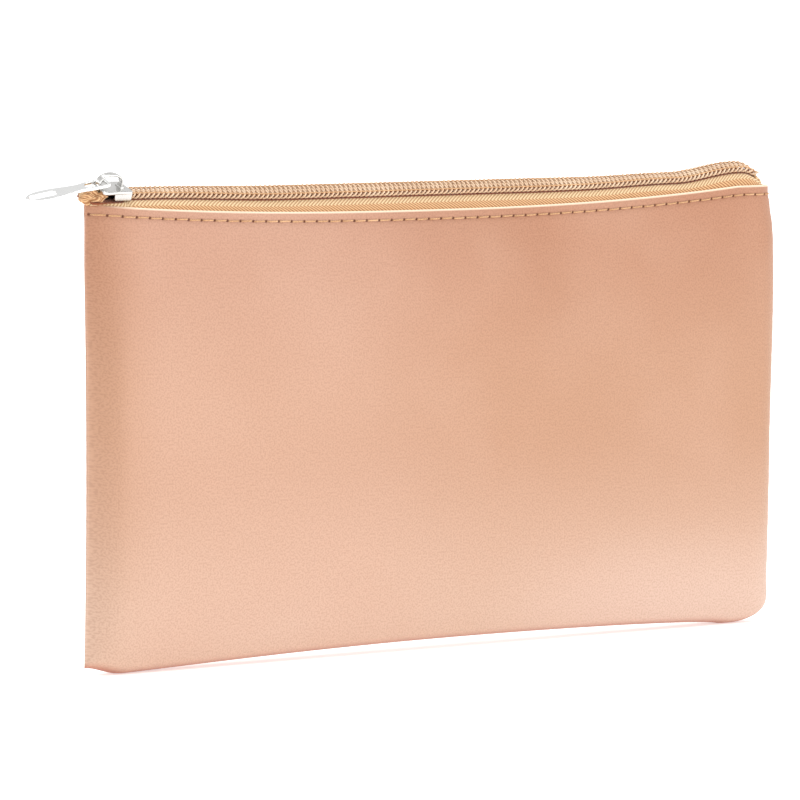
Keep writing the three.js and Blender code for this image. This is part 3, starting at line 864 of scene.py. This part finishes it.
def make_left_tuft():
    """The crumpled ends of both tapes, turned back on themselves beside the slider."""
    rows, sides = 40, 72
    stations = np.linspace(0, 1, rows)[:, None]
    angle = (np.arange(sides) * 2 * math.pi / sides)[None, :]
    x = -141.6 + 8.6 * stations
    taper = np.sqrt(1 - (1 - np.clip(stations / 0.34, 0, 1)) ** 2) * 0.94 + 0.06
    taper = taper * (1 - 0.25 * smoothstep((stations - 0.8) / 0.2))
    folds = 0.17 * np.sin(3 * angle + 5 * stations) + 0.13 * np.sin(5 * angle - 9 * stations + 1)
    folds = folds + 0.06 * np.sin(8 * angle + 21 * stations)
    folds = folds - 0.16 * np.abs(np.sin(2.5 * angle + 7 * stations)) ** 6
    reach = taper * (1 + folds)
    y = -0.7 + 3.1 * reach * np.cos(angle)
    z = 148.3 + 0.2 * stations + (2.1 + 0.4 * stations) * reach * np.sin(angle)
    x = x + 0.35 * np.sin(2 * angle + 1) * taper
    points = np.stack([x, y, z], axis=-1)
    faces = grid_quads(rows, sides, wrap=True)
    faces += [list(range(sides))[::-1], list(range((rows - 1) * sides, rows * sides))]
    uv = pairs(x, angle * 2.6)
    return mesh_object("left_tape_tuft", points.reshape(-1, 3), faces, tape_cloth, uv=uv.reshape(-1, 2))


def make_right_end():
    """The tape ends folded down over the end of the coils and into the right-hand seam."""
    x = np.linspace(132.0, 137.6, 26)[:, None]
    across = np.linspace(-1, 1, 21)[None, :]
    half = 2.9 - 1.3 * smoothstep((x - 133.5) / 4)
    crown = (1.15 - 1.0 * smoothstep((x - 133) / 4.5)) * (1 - across**4) + 0.1
    top = chain_point(x, across * half, crown + 0.12 * np.sin(x * 2.1 + across * 2))
    bottom = chain_point(x, across * (half - 0.1), crown * 0.3 - 0.35)
    uv = pairs(x, across * half + 3.0)
    return closed_sheet("right_tape_fold", top, bottom, uv, tape_cloth)


def strip(path, half_side, half_up, reference):
    """A narrow ply with rounded edges along a path."""
    corner = min(half_side, half_up) * 0.9
    ring = []
    for quarter, (side, up) in enumerate(((1, 1), (-1, 1), (-1, -1), (1, -1))):
        for step in range(4):
            angle = math.radians(90 * quarter + 30 * step)
            centre = (side * (half_side - corner), up * (half_up - corner))
            ring.append((centre[0] + corner * math.cos(angle), centre[1] + corner * math.sin(angle)))
    return sweep(path, ring, reference)


def make_margin(name, path, reference):
    """The two plies of leather turned inwards at a seam, lying against each other."""
    plies = []
    for facing in (-1, 1):
        ply = path.copy()
        along = np.arange(len(path))
        ply[:, 1] = facing * (0.36 + 0.05 * np.sin(along * 0.6 + facing))
        plies.append(strip(ply, half_side=0.28, half_up=3.7, reference=reference))
    return mesh_object(name, *gathered(plies), leather)


def make_seam_thread(name, path, reference):
    """A lockstitch line beside a margin: the thread rises between its needle holes."""
    steps_per_stitch = 8
    line = path.copy()
    line[:, 1] = 1.45 + 0.12 * np.cos(np.arange(len(path)) * 2 * math.pi / steps_per_stitch)
    thread = rope(line, radius=0.22, twist=1.4, reference=reference, sides=5)
    return mesh_object(name, *thread, golden_thread)


def bottom_path(height, half, step):
    x = np.arange(-half, half + 0.01, step)
    return np.stack([x, 0 * x, height + 0.8 * low_edge(x)], axis=-1)


def side_path(side, across, low, high, step):
    z = np.arange(low, high + 0.01, step)
    return np.stack([side * (across - seam_in(side, z)), 0 * z, z], axis=-1)


# ---- slider and pull ----


def rounded(corners, radius, steps=5):
    """A closed outline with each corner cut back by a radius and rounded."""
    corners = np.asarray(corners, float)
    outline = []
    for i, corner in enumerate(corners):
        before, after = corners[i - 1] - corner, corners[(i + 1) % len(corners)] - corner
        cut = min(radius, 0.45 * np.linalg.norm(before), 0.45 * np.linalg.norm(after))
        first = corner + before / np.linalg.norm(before) * cut
        last = corner + after / np.linalg.norm(after) * cut
        for t in np.linspace(0, 1, steps):
            outline.append((1 - t) ** 2 * first + 2 * t * (1 - t) * corner + t * t * last)
    return np.array(outline)


def mirrored(half):
    """A closed outline from its half on one side of the middle line."""
    return [(x, -y) for x, y in half] + half[::-1]


def softened(outline, rounds=3):
    """A closed outline smoothed by cutting its corners again and again."""
    outline = np.asarray(outline, float)
    for _ in range(rounds):
        after = np.roll(outline, -1, axis=0)
        cuts = [0.75 * outline + 0.25 * after, 0.25 * outline + 0.75 * after]
        outline = np.stack(cuts, axis=1).reshape(-1, 2)
    return outline


def cut_plate(outlines, low, high, edge):
    """Points and faces of a flat plate with rounded edges, cut to an outline and the holes within it."""
    curve = bpy.data.curves.new("plate", "CURVE")
    curve.dimensions = "2D"
    curve.fill_mode = "BOTH"
    curve.extrude = (high - low) / 2 - edge
    curve.bevel_depth = edge
    curve.bevel_resolution = 3
    curve.offset = -edge
    for outline in outlines:
        spline = curve.splines.new("POLY")
        spline.points.add(len(outline) - 1)
        for point, (x, y) in zip(spline.points, outline):
            point.co = (x, y, 0, 1)
        spline.use_cyclic_u = True
    holder = placed("plate", curve)
    mesh = bpy.data.meshes.new_from_object(holder.evaluated_get(bpy.context.evaluated_depsgraph_get()))
    work = bmesh.new()
    work.from_mesh(mesh)
    bmesh.ops.remove_doubles(work, verts=work.verts, dist=1e-4)
    bmesh.ops.dissolve_degenerate(work, edges=work.edges, dist=1e-5)
    work.verts.index_update()
    points = np.array([v.co for v in work.verts]) + np.array([0, 0, (low + high) / 2])
    faces = [[v.index for v in face.verts] for face in work.faces]
    work.free()
    bpy.data.objects.remove(holder)
    bpy.data.curves.remove(curve)
    bpy.data.meshes.remove(mesh)
    return points, faces


def slider_frame(points):
    """Points in the object's frame, from ones along the chain, across it towards the back and up."""
    x, y, z = np.moveaxis(np.asarray(points), -1, 0)
    cos, sin = math.cos(END_TILT), math.sin(END_TILT)
    return np.stack([x, y * cos - z * sin, CHAIN_HEIGHT + y * sin + z * cos], axis=-1)


HARD_ANGLE = math.radians(50)  # edges of the metal pieces sharper than this stay crisp


def polished(piece):
    """Even normals over the flat faces of a bevelled metal piece."""
    weighted = piece.modifiers.new("flat faces", "WEIGHTED_NORMAL")
    weighted.keep_sharp = True
    return piece


def united(name, parts, material):
    """Several closed parts made one body."""
    made = None
    for points, faces in parts:
        label = name if made is None else "part"
        part = mesh_object(label, points, faces, material, hard_angle=HARD_ANGLE)
        if made is None:
            made = part
            continue
        union = made.modifiers.new("union", "BOOLEAN")
        union.operation = "UNION"
        union.solver = "EXACT"
        union.object = part
        mesh = bpy.data.meshes.new_from_object(made.evaluated_get(bpy.context.evaluated_depsgraph_get()))
        made.modifiers.clear()
        made.data = mesh
        bpy.data.objects.remove(part)
    made.data.name = name
    made.data.shade_smooth()
    made.data.set_sharp_from_angle(angle=HARD_ANGLE)
    return polished(made)


NOSE = SLIDER_X - SLIDER_LENGTH / 2
TAIL = SLIDER_X + SLIDER_LENGTH / 2 - 1.6  # the casting is a little shorter than its envelope
TAIL_HALF = 4.1
PLATE_LOW = 2.5
PLATE_HIGH = 3.5
LOWER_PLATE = (-1.8, -0.8)
FLANGE_FROM = 3.28  # the flanges start this far from the chain's middle
FLANGE_THICK = 0.85
BAIL_X = -130.9
BAIL_HALF = 4.2
BAIL_RISE = 2.45
PULL_AXIS = 5.2
PULL_DROOP = math.radians(10.5)
PULL_HALF = 0.47  # half its thickness


def make_slider_body():
    half = [(NOSE + 0.7, 0.9), (NOSE, 2.3), (NOSE + 0.5, 4.1), (NOSE + 2.0, 4.6), (NOSE + 5, 4.3)]
    half.append((TAIL, TAIL_HALF))
    outline = rounded(mirrored(half), 0.9)
    low_outline = rounded(mirrored([(x, 0.96 * y) for x, y in half]), 0.9)
    post = [(NOSE + x, y) for x, y in ((1, 0), (2.2, -1.1), (5, -0.9), (6.6, 0), (5, 0.9), (2.2, 1.1))]
    parts = [
        cut_plate([outline], PLATE_LOW, PLATE_HIGH, 0.3),
        cut_plate([low_outline], *LOWER_PLATE, 0.3),
        cut_plate([rounded(post, 0.4)], -1.1, 2.8, 0.05),
    ]
    side = [(NOSE + 5.0, 0.35), (TAIL - 0.3, 0.35), (TAIL - 0.3, 3.2), (NOSE + 4.6, 3.2)]
    for sign in (-1, 1):
        points, faces = cut_plate([rounded(side, 0.7)], 0, FLANGE_THICK, 0.15)
        turned = np.stack([points[:, 0], sign * (FLANGE_FROM + points[:, 2]), points[:, 1]], axis=-1)
        parts.append((turned, faces))
    for x in (-BAIL_HALF, BAIL_HALF):
        lug = [(BAIL_X + x + a, b) for a, b in ((-0.9, -1.6), (0.9, -1.6), (0.9, 1.6), (-0.9, 1.6))]
        parts.append(cut_plate([rounded(lug, 0.5)], 3.2, 3.95, 0.2))
    return united("slider_casting", [(slider_frame(points), faces) for points, faces in parts], slider_nickel)


def make_bail():
    """The bail: a flat strap bent into a low arch, its feet set in the slider's lugs."""
    bend = np.linspace(math.pi, 0, 29)
    arch = np.stack([BAIL_HALF * np.cos(bend), BAIL_RISE * np.sin(bend)], axis=-1)
    foot = PLATE_HIGH - PULL_AXIS + 0.1
    left_foot = [(-BAIL_HALF, foot), (-BAIL_HALF, foot / 2)]
    right_foot = [(BAIL_HALF, foot / 2), (BAIL_HALF, foot)]
    path = np.array([(BAIL_X + x, 0, PULL_AXIS + z) for x, z in left_foot + arch.tolist() + right_foot])
    points, faces = strip(path, half_side=0.42, half_up=1.2, reference=(0, 1.0, 0))
    piece = mesh_object("bail_strap", slider_frame(points), faces, slider_nickel, hard_angle=math.radians(60))
    return polished(piece)


def make_pull():
    """The pull: an eye round the bail, a neck, and a paddle with a slot."""
    eye_end = [(0.6, 1.6), (1.0, 2.5), (1.8, 2.65), (8, 2.6)]
    neck = [(10.4, 2.05), (13, 2.1)]
    paddle = [(18.5, 3), (22.5, 3.35), (26, 3.15), (28.6, 2.4), (29.9, 1.3), (30.55, 0.4)]
    outline = softened(mirrored(eye_end + neck + paddle))
    eye = rounded([(1.7, -1.5), (8.4, -1.5), (9.3, 0), (8.4, 1.5), (1.7, 1.5)], 0.7)
    slot = rounded([(19.8, -1.2), (29.2, -1.1), (29.2, 1.1), (19.8, 1.2)], 1.15, steps=9)
    points, faces = cut_plate([outline, eye, slot], -PULL_HALF, PULL_HALF, 0.2)
    x, y, z = points.T
    cos, sin = math.cos(PULL_DROOP), math.sin(PULL_DROOP)
    turned = np.stack([BAIL_X - x * cos + z * sin, y, PULL_AXIS - x * sin - z * cos], axis=-1)
    piece = mesh_object("paddle_pull", slider_frame(turned), faces, pull_nickel, hard_angle=HARD_ANGLE)
    return polished(piece)


# ---- pieces on their bodies ----


def open_with(piece):
    """Bakes the piece's placement into its mesh and reads the places of its points, which nothing uses."""
    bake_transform(piece)
    places = np.zeros(len(piece.data.vertices) * 3, np.float32)
    piece.data.vertices.foreach_get("co", places)


makers = {
    "panel": (make_panel, "leather"),
    "lining": (make_lining, "lining"),
    "tape": (make_tape, "tape"),
    "coil": (make_coil, "coil"),
    "coil_cord": (make_coil_cord, "coil"),
    "coil_thread": (make_coil_thread, "thread"),
    "topstitch": (make_topstitch, "thread"),
}
for wall in WALLS:
    for kind, (make, slot) in makers.items():
        piece = make(wall)
        open_with(piece)
        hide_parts(f"{wall}_{kind}")

margin_paths = {"bottom": (bottom_path(height=5.2, half=126, step=3), UP)}
thread_paths = {"bottom": (bottom_path(height=2.4, half=126, step=0.35), UP)}
for name, side in (("left", -1), ("right", 1)):
    margin_paths[name] = (side_path(side, across=134.4, low=13, high=135, step=3), ALONG)
    thread_paths[name] = (side_path(side, across=136.9, low=13, high=134, step=0.35), ALONG)
fixed = []
for name, (path, up) in margin_paths.items():
    fixed.append((make_margin(f"{name}_seam_plies", path, up), f"{name}_seam_margin", "leather"))
for name, (path, up) in thread_paths.items():
    fixed.append((make_seam_thread(f"{name}_seam_stitches", path, up), f"{name}_seam_thread", "thread"))
fixed.append((make_left_tuft(), "left_tape_end", "tape"))
fixed.append((make_right_end(), "right_tape_end", "tape"))
for piece, node, slot in fixed:
    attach(piece, "seams")
    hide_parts(node)

for piece, body, node, slot in (
    (make_slider_body(), "slider", "slider_body", "slider_metal"),
    (make_bail(), "slider", "slider_bail", "slider_metal"),
    (make_pull(), "pull", "pull_tab", "pull_metal"),
):
    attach(piece, body)
    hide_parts(node)

# ---- camera, floor, light ----

AZIMUTH = math.radians(-38)
ELEVATION = math.radians(3.97)
DISTANCE = 2.098
AIM = Vector((-0.0158, 0, 0.0803))

camera = placed("camera", bpy.data.cameras.new("camera"))
camera.data.lens = 294.9
camera.data.sensor_width = 36
camera.data.clip_end = 100
towards = Vector(
    (math.sin(AZIMUTH) * math.cos(ELEVATION), -math.cos(AZIMUTH) * math.cos(ELEVATION), math.sin(ELEVATION))
)
camera.location = AIM + DISTANCE * towards
camera.rotation_euler = (-towards).to_track_quat("-Z", "Y").to_euler()
bpy.context.scene.camera = camera


FLOOR_GLOW = 0.5


def add_floor():
    """A light table: it glows enough to wash out most of the shadow."""
    s = Shader("pale_floor", Roughness=0.9, Specular_IOR_Level=0.1, Emission_Color=(1, 1, 1, 1))
    s.surface.inputs["Emission Strength"].default_value = FLOOR_GLOW
    grain = s.noise(30.0, 2.0, s.place())
    s.finish(s.blend(grain, linear(246, 246, 246), linear(250, 250, 250)))
    extent = 60.0
    corners = [(-extent, -extent, 0), (extent, -extent, 0), (extent, extent, 0), (-extent, extent, 0)]
    mesh = bpy.data.meshes.new("floor")
    mesh.from_pydata(corners, [], [(0, 1, 2, 3)])
    mesh.materials.append(s.material)
    floor = placed("floor", mesh)


def add_light(name, place, aim=(0, 0, 0.08)):
    """A wide soft box."""
    light = bpy.data.lights.new(name, "AREA")
    light.shape = "RECTANGLE"
    light.size = 1.8
    light.size_y = 0.7
    light.energy = 13
    lamp = placed(name, light)
    lamp.location = place
    lamp.rotation_euler = (Vector(aim) - Vector(place)).to_track_quat("-Z", "Y").to_euler()


add_floor()
add_light("key", (1.2, -2.35, 0.45))
add_light("rear", (-1.2, 2.35, 0.45))

sun = placed("overhead", bpy.data.lights.new("overhead", "SUN"))
sun.data.energy = 1.5
sun.data.angle = math.radians(50)

HORIZON_LIGHT = 1.06
ZENITH_LIGHT = 0.72
FADE_START = 0.4  # sine of the height above the horizon
FADE_END = 0.98
world = bpy.data.worlds.new("studio")
world.use_nodes = True
sky = world.node_tree.nodes
direction = sky.new("ShaderNodeTexCoord")
height = sky.new("ShaderNodeSeparateXYZ")
fade = sky.new("ShaderNodeMapRange")
fade.interpolation_type = "SMOOTHSTEP"
fade.inputs["From Min"].default_value = FADE_START
fade.inputs["From Max"].default_value = FADE_END
fade.inputs["To Min"].default_value = HORIZON_LIGHT
fade.inputs["To Max"].default_value = ZENITH_LIGHT
world.node_tree.links.new(direction.outputs["Generated"], height.inputs[0])
world.node_tree.links.new(height.outputs["Z"], fade.inputs["Value"])
world.node_tree.links.new(fade.outputs[0], sky["Background"].inputs["Strength"])
sky["Background"].inputs["Color"].default_value = (1, 1, 1, 1)
bpy.context.scene.world = world
bpy.context.scene.view_settings.view_transform = "Standard"
